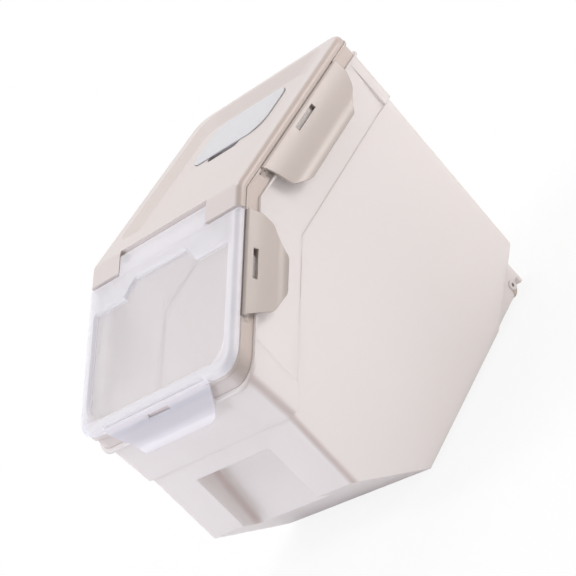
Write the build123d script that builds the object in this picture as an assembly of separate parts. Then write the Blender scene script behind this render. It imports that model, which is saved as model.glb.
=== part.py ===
from build123d import *
from math import atan, cos, radians, sin, tan
import os

os.makedirs("parts", exist_ok=True)

# The working origin is the fold of the lid on the centre plane, at the parting plane
# X is the width, Y runs to the rear, Z is up

# Lid outline seen from above
HALF_WIDTH = 114.0
REAR_REACH = 241.0
FRONT_RUN = 174.0
SLOPE = 28.45
FRONT_CORNER = 22.0
REAR_CORNER = 20.0
SMALL_CORNER = 3.0
FAR = 420.0
WALL = 2.5
HAIR = 0.1

# Lid frame
WEB_WIDTH = 20.0
WEB_THICKNESS = 2.5
SKIRT_DROP = 14.5
SKIRT_INSET = 2.2
LIP_DROP = 2.5
INNER_SKIRT_DROP = 9.0
INNER_SKIRT_THICKNESS = 2.0
SKIRT_CLEARANCE = 0.6
CROSSBAR_REAR = 20.0
DOORWAY_TOP = 30.0
DOORWAY_MARGIN = 16.0
DOORWAY_CORNER = 12.0

# Rim, flange and collar of the bin
RIM_INSET = 6.5
RIM_DROP = 5.5
FLANGE_OVERHANG = 0.8
FLANGE_TOP = 15.0
FLANGE_FOOT = 17.0
COLLAR_DROP = 71.0
COLLAR_LEVEL = 151.0
COLLAR_INSET = 6.4
COLLAR_DRAFT = 0.8
COLLAR_FRONT_OUT = 1.0
COLLAR_FRONT_DRAFT = 13.9
COLLAR_REAR_INSET = 2.1
COLLAR_REAR_DRAFT = 4.7
COLLAR_DEPTH = 160.0
COLLAR_CORNER = 8.5
PANEL_FRONT_MARGIN = 43.0
PANEL_REAR_MARGIN = 22.0
PANEL_DEPTH = 3.4

# Lower body of the bin
PARTING_HEIGHT = 296.2
BODY_INSET = 8.8
BODY_DRAFT = 5.4
BODY_FRONT_INSET = 14.0
BODY_REAR_INSET = 3.5
BODY_REAR_DRAFT = 8.5
BODY_CORNER = 6.5
CHAMFER_HEIGHT = 62.3
CHAMFER_RUN = 77.6
TAIL_HEIGHT = 33.4
TAIL_RUN = 101.3

# Hand recess in the front wall
RECESS_HALF = 52.0
RECESS_TOP = -170.2
RECESS_DEPTH_TOP = 24.0
RECESS_DEPTH_FOOT = 10.0
RECESS_CORNER = 8.0

# Lugs of the bin behind the latch slots
LUG_TOP = 6.2
LUG_INSET = 0.3
LUG_CLEARANCE = 1.0

# Side latches
HINGE_OUT = 0.4
HINGE_DROP = 2.7
BARREL_RADIUS = 2.3
LATCH_PIN_RADIUS = 1.3
LATCH_PIN_REACH = 3.0
RUNNING_FIT = 0.06
LATCH_DEPTH = 44.5
LATCH_THICKNESS = 2.2
LATCH_BULGE = 1.5
LATCH_FLARE = 3.4
LATCH_WAIST = 31.0
LATCH_WAIST_OUT = 0.4
LATCH_FOOT_INSET = 33.0
LATCH_SHOULDER = 13.0
SLOT_TOP = 5.2
SLOT_FOOT = 10.2
REAR_SLOT_LENGTH = 37.0
FRONT_SLOT_LENGTH = 29.5
FRONT_SLOT_DROP = 2.0
REAR_LATCH_FRONT = 29.0
REAR_LATCH_MARGIN = 45.0
FRONT_LATCH_TOP = 22.0
FRONT_LATCH_MARGIN = 50.0
SEAT_WIDTH = 5.7
SEAT_DROP = 9.5
SEAT_GAP = 0.6
END_GAP = 0.4
EAR_LENGTH = 4.2

# Top cover
COVER_GAP = 0.9
PARTING_GAP = 0.9
COVER_HEIGHT = 8.8
COVER_ROUND = 5.5
COVER_SHELL = 2.4
COVER_WALL = 3.0
COVER_FRONT = 0.5
FOLD_SOFT = 14.0
ARM_WIDTH = 48.0
ARM_RUN = 19.5
BASIN_MARGIN = 19.0
BASIN_SIDE_RUN = 16.0
BASIN_REAR_MARGIN = 12.0
BASIN_REAR_RUN = 24.0
BASIN_FRONT_TOP = 26.0
BASIN_FRONT_RUN = 5.0
BASIN_FLOOR = 3.2
BASIN_CORNER = 20.0
RIB_INSET = 16.0
RIB_THICKNESS = 2.0

# Measuring scoop and its well
SCOOP_HALF = 54.0
SCOOP_LENGTH = 70.0
SCOOP_MARGIN = 9.0
SCOOP_CORNER = 18.0
SCOOP_WALL = 1.8
SCOOP_TOP = 8.0
SCOOP_ROUND = 4.0
WELL_CLEARANCE = 1.6
WELL_DEPTH = 28.0
NOTCH_HALF = 23.5
NOTCH_REACH = 9.0
NOTCH_DEPTH = 14.0
NOTCH_CORNER = 6.0

# Door and its hinge
DOOR_AXIS_RUN = 3.6
DOOR_AXIS_RISE = 4.2
DOOR_BARREL = 4.0
DOOR_SIDE_GAP = 0.6
DOOR_SHOULDER = 20.3
DOOR_PANE_TOP = 5.0
DOOR_PANE_FOOT = 2.6
DOOR_ROUND = 5.0
WINDOW_MARGIN = 14.0
WINDOW_NECK = 37.0
WINDOW_NECK_TOP = 35.0
WINDOW_ARM_GAP = 13.0
WINDOW_SHOULDER = 51.0
WINDOW_FOOT_MARGIN = 13.0
WINDOW_CORNER = 20.0
WINDOW_DRAFT = 3.0
PLUG_GAP = 0.9
PLUG_TOP = 33.0
PLUG_DROP = 6.0
PLUG_WALL = 2.0
DOOR_PIN_RADIUS = 1.6
DOOR_PIN_LENGTH = 12.0

# Door latch
DOOR_LATCH_SETBACK = 0.7
DOOR_LATCH_RISE = 3.2
DOOR_LATCH_BARREL = 2.3
DOOR_LATCH_PIN = 1.2
DOOR_LATCH_PIN_REACH = 3.0
DOOR_LATCH_HALF_TOP = 73.5
DOOR_LATCH_HALF_FOOT = 51.0
DOOR_LATCH_DEPTH = 35.0
DOOR_LATCH_THICKNESS = 2.0
DOOR_LATCH_FLARE = 4.2
DOOR_LATCH_STRAIGHT = 22.0
DOOR_SLOT_HALF = 16.0
DOOR_SLOT_TOP = 2.6
DOOR_SLOT_FOOT = 7.0
DOOR_LUG_OUT = 0.9

# Gaskets
GASKET_OVERHANG = 0.5
GASKET_CLEARANCE = 0.3
DOOR_GASKET_WIDTH = 4.5

# Wheels and brackets
WHEEL_RADIUS = 11.6
WHEEL_SETBACK = 50.8
WHEEL_WIDTH = 12.0
WHEEL_SIDE_GAP = 0.7
WHEEL_ROUND = 1.5
CHEEK_INSET = 3.3
CHEEK_THICKNESS = 2.5
CHEEK_FRONT_RUN = 57.5
CHEEK_ARCH_RUN = 8.2
CHEEK_REAR_RUN = 16.7
CHEEK_BLOCK = 4.0
FOOT_DROP = 4.2
FOOT_HALF = 70.0
FOOT_SETBACK = 19.4
FOOT_WIDTH = 14.0
FOOT_CORNER = 6.0
AXLE_RADIUS = 2.0
BOSS_RADIUS = 5.2
BOSS_OUT = 1.2
BOSS_SINK = 0.6

# Positions that follow from the dimensions above
TURN = radians(SLOPE)
FRONT_LIP = -FRONT_RUN * cos(TURN)
FLOOR = -PARTING_HEIGHT
COLLAR_HALF = HALF_WIDTH - COLLAR_INSET
COLLAR_FRONT = FRONT_LIP - COLLAR_FRONT_OUT
COLLAR_REAR = REAR_REACH - COLLAR_REAR_INSET
BODY_HALF = HALF_WIDTH - BODY_INSET
BODY_FRONT = FRONT_LIP + BODY_FRONT_INSET
BODY_REAR = REAR_REACH - BODY_REAR_INSET
TAIL_REAR = BODY_REAR - BODY_REAR_DRAFT
PANEL_FRONT = FRONT_LIP + PANEL_FRONT_MARGIN
PANEL_REAR = REAR_REACH - PANEL_REAR_MARGIN
FOOT_FRONT = BODY_FRONT + CHAMFER_RUN + FOOT_SETBACK
DOORWAY_FOOT = FRONT_RUN - DOORWAY_MARGIN
REAR_LATCH_REAR = REAR_REACH - REAR_LATCH_MARGIN
FRONT_LATCH_FOOT = FRONT_RUN - FRONT_LATCH_MARGIN
ARM_IN = HALF_WIDTH - ARM_WIDTH
BASIN_HALF_TOP = HALF_WIDTH - BASIN_MARGIN
BASIN_HALF_FOOT = BASIN_HALF_TOP - BASIN_SIDE_RUN
BASIN_REAR_TOP = REAR_REACH - BASIN_REAR_MARGIN
BASIN_REAR_FOOT = BASIN_REAR_TOP - BASIN_REAR_RUN
BASIN_FRONT_FOOT = BASIN_FRONT_TOP + BASIN_FRONT_RUN
SCOOP_REAR = BASIN_REAR_FOOT - SCOOP_MARGIN
SCOOP_FRONT = SCOOP_REAR - SCOOP_LENGTH
NOTCH_FRONT = SCOOP_FRONT - NOTCH_REACH
WINDOW_HALF = HALF_WIDTH - WINDOW_MARGIN
WINDOW_SHOULDER_HALF = ARM_IN - WINDOW_ARM_GAP
WINDOW_FOOT = FRONT_RUN - WINDOW_FOOT_MARGIN
DOOR_LATCH_RUN = FRONT_RUN - DOOR_LATCH_SETBACK
LID_GASKET_OUT = RIM_INSET - GASKET_OVERHANG
LID_GASKET_IN = RIM_INSET + WALL + GASKET_CLEARANCE
DOOR_GASKET_OUT = HALF_WIDTH - WEB_WIDTH + GASKET_CLEARANCE + DOOR_GASKET_WIDTH
WHEEL_Y = REAR_REACH - WHEEL_SETBACK
CHEEK_FRONT = WHEEL_Y - CHEEK_FRONT_RUN
CHEEK_ARCH_FRONT = WHEEL_Y - CHEEK_ARCH_RUN
CHEEK_REAR = WHEEL_Y + CHEEK_REAR_RUN
HINGE_X = HALF_WIDTH + HINGE_OUT
LUG_OUT = HALF_WIDTH - LUG_INSET
SEAT_IN = HALF_WIDTH - SEAT_WIDTH
CHEEK_OUT = BODY_HALF - BODY_DRAFT - CHEEK_INSET
CHEEK_IN = CHEEK_OUT - 2 * CHEEK_THICKNESS - WHEEL_WIDTH - 2 * WHEEL_SIDE_GAP
WHEEL_Z = FLOOR - FOOT_DROP + WHEEL_RADIUS
WHEEL_X = (CHEEK_OUT + CHEEK_IN) / 2


def fold_at(offset):
    return (-offset * tan(TURN / 2), offset)


def slope_at(run, rise):
    return (-run * cos(TURN) - rise * sin(TURN), -run * sin(TURN) + rise * cos(TURN))


def on_slope(shape):
    return Rot(X=SLOPE) * shape


def both_sides(shape):
    return shape + mirror(shape, about=Plane.YZ)


def block(x_from, x_to, y_from, y_to, z_from, z_to):
    size = (x_to - x_from, y_to - y_from, z_to - z_from)
    middle = Pos((x_from + x_to) / 2, (y_from + y_to) / 2, (z_from + z_to) / 2)
    return middle * Box(*size)


def side_prism(points, half=FAR):
    face = make_face(Polyline(*points, close=True))
    return extrude(Plane.YZ * face, amount=half, both=True)


def rounded(x_half, y_from, y_to, front_radius, rear_radius):
    face = Pos(0, (y_from + y_to) / 2) * Rectangle(2 * x_half, y_to - y_from)
    corners = face.vertices().sort_by(Axis.Y)
    face = fillet(corners[:2], front_radius)
    corners = face.vertices().sort_by(Axis.Y)
    return fillet(corners[-2:], rear_radius)


def outline(inset):
    front = max(FRONT_CORNER - inset, SMALL_CORNER)
    rear = max(REAR_CORNER - inset, SMALL_CORNER)
    return rounded(HALF_WIDTH - inset, FRONT_LIP + inset, REAR_REACH - inset, front, rear)


def column(face):
    return extrude(face, amount=FAR, both=True)


def band(top, bottom):
    upper = [(FAR, top), fold_at(top), slope_at(FAR, top)]
    lower = [slope_at(FAR, bottom), fold_at(bottom), (FAR, bottom)]
    return side_prism(upper + lower)


def layer(inset, top, bottom):
    return column(outline(inset)) & band(top, bottom)


def ring(outer, inner, top, bottom):
    return layer(outer, top, bottom) - column(outline(inner))


def tapered(half, draft, front, front_draft, rear, rear_draft, depth, corner):
    low = half - draft
    sides = make_face(Polyline((-low, -depth), (low, -depth), (half, 0), (-half, 0), close=True))
    across = extrude(Plane.XZ * sides, amount=FAR, both=True)
    front_foot = front + front_draft
    rear_foot = rear - rear_draft
    along = side_prism([(front_foot, -depth), (rear_foot, -depth), (rear, 0), (front, 0)])
    shape = across & along
    upright = [e for e in shape.edges() if e.bounding_box().size.Z > depth / 2]
    return fillet(upright, corner)


def collar_body(inset):
    return tapered(
        COLLAR_HALF - inset,
        COLLAR_DRAFT,
        COLLAR_FRONT + inset,
        COLLAR_FRONT_DRAFT,
        COLLAR_REAR - inset,
        COLLAR_REAR_DRAFT,
        COLLAR_DEPTH,
        COLLAR_CORNER - inset,
    )


def lower_body(inset):
    return tapered(
        BODY_HALF - inset,
        BODY_DRAFT,
        BODY_FRONT + inset,
        0.0,
        BODY_REAR - inset,
        BODY_REAR_DRAFT,
        PARTING_HEIGHT,
        BODY_CORNER - inset,
    )


def lower_profile(inset, top):
    chamfer = CHAMFER_HEIGHT / CHAMFER_RUN
    tail = TAIL_HEIGHT / TAIL_RUN
    chamfer_lift = inset * (1 + chamfer**2) ** 0.5
    tail_lift = inset * (1 + tail**2) ** 0.5
    foot = FLOOR + inset
    front_foot = BODY_FRONT + CHAMFER_RUN + (chamfer_lift - inset) / chamfer
    rear_foot = TAIL_REAR - TAIL_RUN - (tail_lift - inset) / tail
    front_far = front_foot - FAR
    rear_far = rear_foot + FAR
    lower = [
        (rear_far, foot + tail * FAR),
        (rear_foot, foot),
        (front_foot, foot),
        (front_far, foot + chamfer * FAR),
    ]
    return side_prism(lower + [(front_far, FAR), (rear_far, FAR)]) & band(-top, -2 * FAR)


# Slanting side panel of the collar, as the material taken away on the +X side
def panel_cut(inset):
    depth = COLLAR_DROP - FLANGE_FOOT
    lean = atan(PANEL_DEPTH / depth)
    end = -COLLAR_DROP - WALL + inset
    start = -FLANGE_FOOT
    front = PANEL_FRONT - inset
    rear = PANEL_REAR + inset
    flat = side_prism([(rear, start), fold_at(start), fold_at(end), (rear, end)])
    steep_zone = [fold_at(start), slope_at(FAR, start), slope_at(FAR, end), fold_at(end)]
    steep = side_prism(steep_zone) & block(0, FAR, front, FAR, -FAR, FAR)
    start_x = COLLAR_HALF - inset
    flat_plane = Plane((start_x, 0, start), x_dir=(0, 1, 0), z_dir=(cos(lean), 0, -sin(lean)))
    outside = Box(2 * FAR, 2 * FAR, FAR, align=(Align.CENTER, Align.CENTER, Align.MIN))
    return (flat & (flat_plane * outside)) + (steep & on_slope(flat_plane * outside))


def recess(grow):
    half = RECESS_HALF + grow
    front = BODY_FRONT - FAR
    back_top = BODY_FRONT + RECESS_DEPTH_TOP + grow
    back_foot = BODY_FRONT + RECESS_DEPTH_FOOT + grow
    top = RECESS_TOP + grow
    points = [(front, top), (back_top, top), (back_foot, FLOOR - grow), (front, FLOOR - grow)]
    cut = side_prism(points, half)
    back = cut.faces().filter_by(lambda f: f.normal_at().Y > cos(TURN)).sort_by(Axis.Y)[-1]
    keep = back.edges().sort_by(Axis.Z)[1:]
    return fillet(keep, RECESS_CORNER + grow)


def bin_volume(inset):
    volume = collar_body(inset) & band(-FLANGE_TOP + inset, -COLLAR_DROP + inset)
    volume = volume & block(-FAR, FAR, -FAR, FAR, -COLLAR_LEVEL + inset, FAR)
    volume = volume - both_sides(panel_cut(inset))
    lower = lower_body(inset) & lower_profile(inset, COLLAR_DROP - FLANGE_FOOT)
    return volume + (lower - recess(inset))


def bracket():
    slope_lift = TAIL_HEIGHT / TAIL_RUN
    top_front = FLOOR + (CHEEK_FRONT - TAIL_REAR + TAIL_RUN) * slope_lift
    top_rear = FLOOR + (CHEEK_REAR - TAIL_REAR + TAIL_RUN) * slope_lift
    block_front = CHEEK_REAR - CHEEK_BLOCK
    points = [
        (CHEEK_FRONT, top_front + WALL / 2),
        (CHEEK_FRONT, FLOOR),
        (CHEEK_ARCH_FRONT, FLOOR),
        (WHEEL_Y - BOSS_RADIUS * cos(TURN), WHEEL_Z - BOSS_RADIUS * sin(TURN)),
        (WHEEL_Y, WHEEL_Z),
        (block_front, WHEEL_Z),
        (block_front, FLOOR),
        (CHEEK_REAR, FLOOR),
        (CHEEK_REAR, top_rear + WALL / 2),
    ]
    axis = Pos(WHEEL_X, WHEEL_Y, WHEEL_Z) * Rot(Y=90)
    whole = side_prism(points, CHEEK_OUT) & block(CHEEK_IN, CHEEK_OUT, 0, FAR, -FAR, 0)
    whole = whole + axis * Cylinder(BOSS_RADIUS, CHEEK_OUT - CHEEK_IN)
    room_in = CHEEK_IN + CHEEK_THICKNESS
    room_out = CHEEK_OUT - CHEEK_THICKNESS
    slope_line = [
        (CHEEK_FRONT - FAR, top_front - FAR * slope_lift),
        (CHEEK_FRONT + FAR, top_front + FAR * slope_lift),
        (CHEEK_FRONT + FAR, -FAR),
        (CHEEK_FRONT - FAR, -FAR),
    ]
    below_slope = side_prism(slope_line)
    room = block(room_in, room_out, CHEEK_FRONT + WALL, block_front, -FAR, 0) & below_slope
    boss_place = Pos(CHEEK_OUT + BOSS_OUT / 2, WHEEL_Y, WHEEL_Z) * Rot(Y=90)
    boss = boss_place * Cylinder(BOSS_RADIUS, BOSS_OUT)
    hole = axis * Cylinder(AXLE_RADIUS, 2 * (CHEEK_OUT - WHEEL_X + BOSS_OUT))
    return (whole - room) + boss - hole


def lug(middle, half, top, grow, foot):
    reach = RIM_INSET / 2
    x_in = HALF_WIDTH - RIM_INSET - reach
    body = block(x_in, LUG_OUT + grow, middle - half - grow, middle + half + grow, -FAR, FAR)
    return body & band(-top + grow, foot)


def rear_lug(grow=0.0, foot=-FLANGE_FOOT):
    middle = (REAR_LATCH_FRONT + REAR_LATCH_REAR) / 2
    half = REAR_SLOT_LENGTH / 2 - 2 * LUG_CLEARANCE
    return lug(middle, half, LUG_TOP, grow, foot)


def front_lug(grow=0.0, foot=-FLANGE_FOOT):
    top = LUG_TOP + FRONT_SLOT_DROP
    middle = slope_at((FRONT_LATCH_TOP + FRONT_LATCH_FOOT) / 2, -top)[0]
    half = FRONT_SLOT_LENGTH / 2 - 2 * LUG_CLEARANCE - LUG_TOP / 2
    return lug(middle, half, top, grow, foot)


# Low foot across the front of the base
foot_face = rounded(FOOT_HALF, FOOT_FRONT, FOOT_FRONT + FOOT_WIDTH, FOOT_CORNER, FOOT_CORNER)
foot_bar = extrude(Pos(0, 0, FLOOR - FOOT_DROP) * foot_face, amount=FOOT_DROP + WALL / 2)

# Bin: rim, flange, collar, lower body, hand recess, foot, brackets and lugs in one moulding
rim = ring(RIM_INSET, RIM_INSET + WALL, -RIM_DROP, -FLANGE_FOOT - WALL)
flange = ring(-FLANGE_OVERHANG, RIM_INSET + WALL, -FLANGE_TOP, -FLANGE_FOOT)
mouth = layer(RIM_INSET + WALL, WALL, -FLANGE_FOOT)
shell = bin_volume(0.0) - bin_volume(WALL)
lugs = both_sides(rear_lug() + front_lug())
bin_body = (shell - mouth) + rim + flange + (lugs - mouth) + both_sides(bracket()) + foot_bar

# Lid frame: web with the two openings, outer and inner skirts, latch seats
web = layer(0.0, 0.0, -WEB_THICKNESS)
inner_half = HALF_WIDTH - WEB_WIDTH
cover_opening = rounded(
    inner_half, CROSSBAR_REAR, REAR_REACH - WEB_WIDTH, DOORWAY_CORNER, DOORWAY_CORNER
)
doorway = rounded(inner_half, -DOORWAY_FOOT, -DOORWAY_TOP, DOORWAY_CORNER, DOORWAY_CORNER)
doorway_cut = on_slope(extrude(doorway, amount=WEB_WIDTH, both=True))
web = web - extrude(cover_opening, amount=WEB_WIDTH, both=True) - doorway_cut
outer_skirt = ring(SKIRT_INSET, SKIRT_INSET + WALL, 0.0, -SKIRT_DROP)
lip = ring(0.0, SKIRT_INSET + WALL, 0.0, -LIP_DROP)
inner_face = RIM_INSET + WALL + SKIRT_CLEARANCE
inner_skirt = ring(inner_face, inner_face + INNER_SKIRT_THICKNESS, 0.0, -INNER_SKIRT_DROP)
lid_frame = web + lip + outer_skirt + inner_skirt


def seat(y_from, y_to):
    body = block(SEAT_IN, HALF_WIDTH, y_from - EAR_LENGTH, y_to + EAR_LENGTH, -SEAT_DROP, 0)
    length = y_to - y_from + 2 * EAR_LENGTH
    axis = Pos(HINGE_X, (y_from + y_to) / 2, -HINGE_DROP) * Rot(X=90)
    return body + axis * Cylinder(BARREL_RADIUS, length)


def seat_cut(y_from, y_to):
    inner = HINGE_X - BARREL_RADIUS - SEAT_GAP
    floor = -HINGE_DROP - BARREL_RADIUS - SEAT_GAP
    trough = block(inner, FAR, y_from - END_GAP, y_to + END_GAP, floor, FAR)
    length = y_to - y_from + 2 * LATCH_PIN_REACH + 2 * END_GAP
    axis = Pos(HINGE_X, (y_from + y_to) / 2, -HINGE_DROP) * Rot(X=90)
    return trough + axis * Cylinder(LATCH_PIN_RADIUS + RUNNING_FIT, length)


rear_span = (REAR_LATCH_FRONT, REAR_LATCH_REAR)
front_span = (-FRONT_LATCH_FOOT, -FRONT_LATCH_TOP)
seats = seat(*rear_span) + on_slope(seat(*front_span))
seat_cuts = seat_cut(*rear_span) + on_slope(seat_cut(*front_span))
lug_windows = rear_lug(LUG_CLEARANCE, -FAR) + front_lug(LUG_CLEARANCE, -FAR)
lug_room = block(SEAT_IN - LUG_CLEARANCE, FAR, -FAR, FAR, -FAR, FAR)
lug_windows = lug_windows & lug_room
lid_frame = lid_frame + both_sides(seats) - both_sides(seat_cuts) - both_sides(lug_windows)

latch_axis_y, latch_axis_z = slope_at(DOOR_LATCH_RUN, DOOR_LATCH_RISE)
door_lug = block(
    -DOOR_SLOT_HALF + 2 * LUG_CLEARANCE,
    DOOR_SLOT_HALF - 2 * LUG_CLEARANCE,
    FRONT_LIP - DOOR_LUG_OUT,
    FRONT_LIP + SKIRT_INSET + WALL / 2,
    latch_axis_z - DOOR_SLOT_FOOT + LUG_CLEARANCE,
    latch_axis_z - DOOR_SLOT_TOP - LUG_CLEARANCE,
)
lid_frame = lid_frame + door_lug

# Lid gasket, between the rim of the bin and the web
lid_gasket = ring(LID_GASKET_OUT, LID_GASKET_IN, -WEB_THICKNESS, -RIM_DROP + GASKET_CLEARANCE)


def side_latch(y_from, y_to, slot_length, slot_drop):
    middle = (y_from + y_to) / 2
    axis = Pos(HINGE_X, middle, -HINGE_DROP) * Rot(X=90)
    barrel = axis * Cylinder(BARREL_RADIUS, y_to - y_from)
    pins = axis * Cylinder(LATCH_PIN_RADIUS, y_to - y_from + 2 * LATCH_PIN_REACH)
    face_x = HINGE_X + BARREL_RADIUS
    start = (face_x, -HINGE_DROP)
    crown = (face_x + LATCH_BULGE, -(HINGE_DROP + LATCH_WAIST) / 2)
    waist = (face_x + LATCH_WAIST_OUT, -LATCH_WAIST)
    lower_edge = (face_x + LATCH_FLARE, -LATCH_DEPTH)
    upper = ThreePointArc(start, crown, waist)
    flare = TangentArc(waist, lower_edge, tangent=upper % 1)
    shift = Pos(-LATCH_THICKNESS, 0)
    foot = Line(flare @ 1, (shift * flare) @ 1)
    top = Line(upper @ 0, (shift * upper) @ 0)
    section = make_face([upper, flare, foot, shift * flare, shift * upper, top])
    end = Plane((0, y_to, 0), x_dir=(1, 0, 0), z_dir=(0, -1, 0))
    plate = extrude(end * section, amount=y_to - y_from)
    shape = make_face(
        Polyline(
            (y_from, 0),
            (y_from + LATCH_SHOULDER, -LATCH_DEPTH * 3 / 4),
            (y_from + LATCH_FOOT_INSET, -LATCH_DEPTH),
            (y_to - LATCH_FOOT_INSET, -LATCH_DEPTH),
            (y_to - LATCH_SHOULDER / 2, -LATCH_DEPTH * 2 / 3),
            (y_to, -LATCH_DEPTH / 3),
            (y_to, 0),
            close=True,
        )
    )
    low = [v for v in shape.vertices() if v.Y < -HAIR]
    shape = fillet(low, LATCH_SHOULDER)
    plate = plate & extrude(Plane.YZ * shape, amount=FAR)
    half_slot = slot_length / 2
    slot_top = -SLOT_TOP - slot_drop
    slot_foot = -SLOT_FOOT - slot_drop
    slot = block(HINGE_X, FAR, middle - half_slot, middle + half_slot, slot_foot, slot_top)
    return barrel + pins + plate - slot


# Top cover
def rounded_top(shape, height, radius):
    edges = [e for e in shape.edges() if e.bounding_box().min.Z > height - HAIR]
    return fillet(edges, radius)


cover_plan = column(outline(COVER_GAP))
arm_zone = both_sides(block(ARM_IN, FAR, -ARM_RUN, FAR, -FAR, FAR))
rear_zone = block(-FAR, FAR, COVER_FRONT, FAR, -FAR, FAR)
cover_points = [
    (FAR, PARTING_GAP),
    (FAR, COVER_HEIGHT),
    fold_at(COVER_HEIGHT),
    slope_at(FAR, COVER_HEIGHT),
    slope_at(FAR, PARTING_GAP),
    fold_at(PARTING_GAP),
]
profile = make_face(Polyline(*cover_points, close=True))
crest = profile.vertices().sort_by_distance(Vector(*fold_at(COVER_HEIGHT), 0))[0]
profile = fillet(crest, FOLD_SOFT)
cover_band = extrude(Plane.YZ * profile, amount=FAR, both=True)
cover_outer = cover_plan & cover_band & (rear_zone + on_slope(arm_zone))


def lift_of(point):
    return max(point.Z, -point.Y * sin(TURN) + point.Z * cos(TURN))


def on_crest(edge):
    near_top = COVER_HEIGHT - COVER_HEIGHT / 8
    return min(lift_of(edge @ 0), lift_of(edge @ 0.5), lift_of(edge @ 1)) > near_top


def on_outline(edge):
    middle = edge @ 0.5
    return abs(middle.X) > WINDOW_HALF or middle.Y > BASIN_REAR_TOP


crest_edges = [e for e in cover_outer.edges() if on_crest(e) and on_outline(e)]
cover_outer = fillet(crest_edges, COVER_ROUND)


def basin(grow, drop):
    rise = COVER_HEIGHT - BASIN_FLOOR
    foot = rounded(
        BASIN_HALF_FOOT + grow,
        BASIN_FRONT_FOOT - grow,
        BASIN_REAR_FOOT + grow,
        BASIN_CORNER,
        BASIN_CORNER,
    )
    top = rounded(
        2 * BASIN_HALF_TOP - BASIN_HALF_FOOT + grow,
        2 * BASIN_FRONT_TOP - BASIN_FRONT_FOOT - grow,
        2 * BASIN_REAR_TOP - BASIN_REAR_FOOT + grow,
        BASIN_CORNER,
        BASIN_CORNER,
    )
    low = BASIN_FLOOR - drop
    return loft([Pos(0, 0, low) * foot, Pos(0, 0, low + 2 * rise) * top], ruled=True)


def well(grow):
    face = rounded(
        SCOOP_HALF + WELL_CLEARANCE + grow,
        SCOOP_FRONT - WELL_CLEARANCE - grow,
        SCOOP_REAR + WELL_CLEARANCE + grow,
        SCOOP_CORNER + WELL_CLEARANCE + grow,
        SCOOP_CORNER + WELL_CLEARANCE + grow,
    )
    pocket = extrude(Pos(0, 0, -WELL_DEPTH - grow) * face, amount=FAR)
    notch_rear = SCOOP_FRONT + SCOOP_CORNER
    notch_corner = NOTCH_CORNER + grow
    notch = rounded(NOTCH_HALF + grow, NOTCH_FRONT - grow, notch_rear, notch_corner, NOTCH_CORNER)
    finger = extrude(Pos(0, 0, BASIN_FLOOR - NOTCH_DEPTH - grow) * notch, amount=FAR)
    return pocket + finger


hollow_rear = block(-FAR, FAR, COVER_FRONT + COVER_WALL, FAR, -FAR, FAR)
hollow_arm = both_sides(block(ARM_IN + COVER_WALL, FAR, -ARM_RUN + COVER_WALL, FAR, -FAR, FAR))
hollow = layer(COVER_GAP + COVER_WALL, COVER_HEIGHT - COVER_SHELL, -COVER_SHELL)
hollow = hollow & (hollow_rear + on_slope(hollow_arm))
pan_floor = block(-FAR, FAR, -FAR, FAR, BASIN_FLOOR - COVER_SHELL, FAR)
top_cover = cover_outer - (hollow - (basin(COVER_SHELL, COVER_SHELL) & pan_floor))
top_cover = top_cover - basin(0.0, 0.0)
rib = ring(RIB_INSET, RIB_INSET + RIB_THICKNESS, COVER_HEIGHT - COVER_SHELL, 0.0)
rib_zone = block(-FAR, FAR, BASIN_FRONT_TOP, FAR, -FAR, FAR)
front_rib = block(
    -BASIN_HALF_TOP,
    BASIN_HALF_TOP,
    CROSSBAR_REAR / 2,
    CROSSBAR_REAR / 2 + RIB_THICKNESS,
    0,
    COVER_HEIGHT - COVER_SHELL,
)
ribs = (rib & rib_zone) + front_rib
top_cover = top_cover + (ribs - basin(0.0, 0.0))
well_wall = well(SCOOP_WALL) & block(-FAR, FAR, 0, FAR, -FAR, BASIN_FLOOR)
top_cover = top_cover + well_wall - well(0.0)

# Measuring scoop, stored mouth down in the well
scoop_face = rounded(SCOOP_HALF, SCOOP_FRONT, SCOOP_REAR, SCOOP_CORNER, SCOOP_CORNER)
scoop = extrude(Pos(0, 0, -WELL_DEPTH) * scoop_face, amount=WELL_DEPTH + SCOOP_TOP)
scoop = rounded_top(scoop, SCOOP_TOP, SCOOP_ROUND)
scoop_inner = rounded(
    SCOOP_HALF - SCOOP_WALL,
    SCOOP_FRONT + SCOOP_WALL,
    SCOOP_REAR - SCOOP_WALL,
    SCOOP_CORNER - SCOOP_WALL,
    SCOOP_CORNER - SCOOP_WALL,
)
inner_height = WELL_DEPTH + SCOOP_TOP - SCOOP_WALL
cup = extrude(Pos(0, 0, -WELL_DEPTH) * scoop_inner, amount=inner_height)
scoop = scoop - cup


# Door, modelled lying flat: y runs up the slope and z is its normal
def door_plan(inset):
    front = FRONT_CORNER - inset
    return rounded(
        HALF_WIDTH - COVER_GAP - inset,
        -FRONT_RUN + inset,
        -DOOR_SHOULDER - inset,
        front,
        SMALL_CORNER,
    )


def door_slab(inset, z_from, z_to):
    return extrude(Pos(0, 0, z_from) * door_plan(inset), amount=z_to - z_from)


def window(grow):
    points = [
        (WINDOW_NECK + grow, -WINDOW_NECK_TOP + grow),
        (WINDOW_SHOULDER_HALF + grow, -WINDOW_SHOULDER + grow),
        (WINDOW_HALF + grow, -WINDOW_SHOULDER + grow),
        (WINDOW_HALF + grow, -WINDOW_FOOT - grow),
    ]
    other = [(-x, y) for x, y in reversed(points)]
    face = make_face(Polyline(*points, *other, close=True))
    feet = face.vertices().sort_by(Axis.Y)[:2]
    face = fillet(feet, WINDOW_CORNER)
    heads = [v for v in face.vertices() if v.Y > -WINDOW_SHOULDER - HAIR]
    return fillet(heads, SMALL_CORNER)


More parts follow.
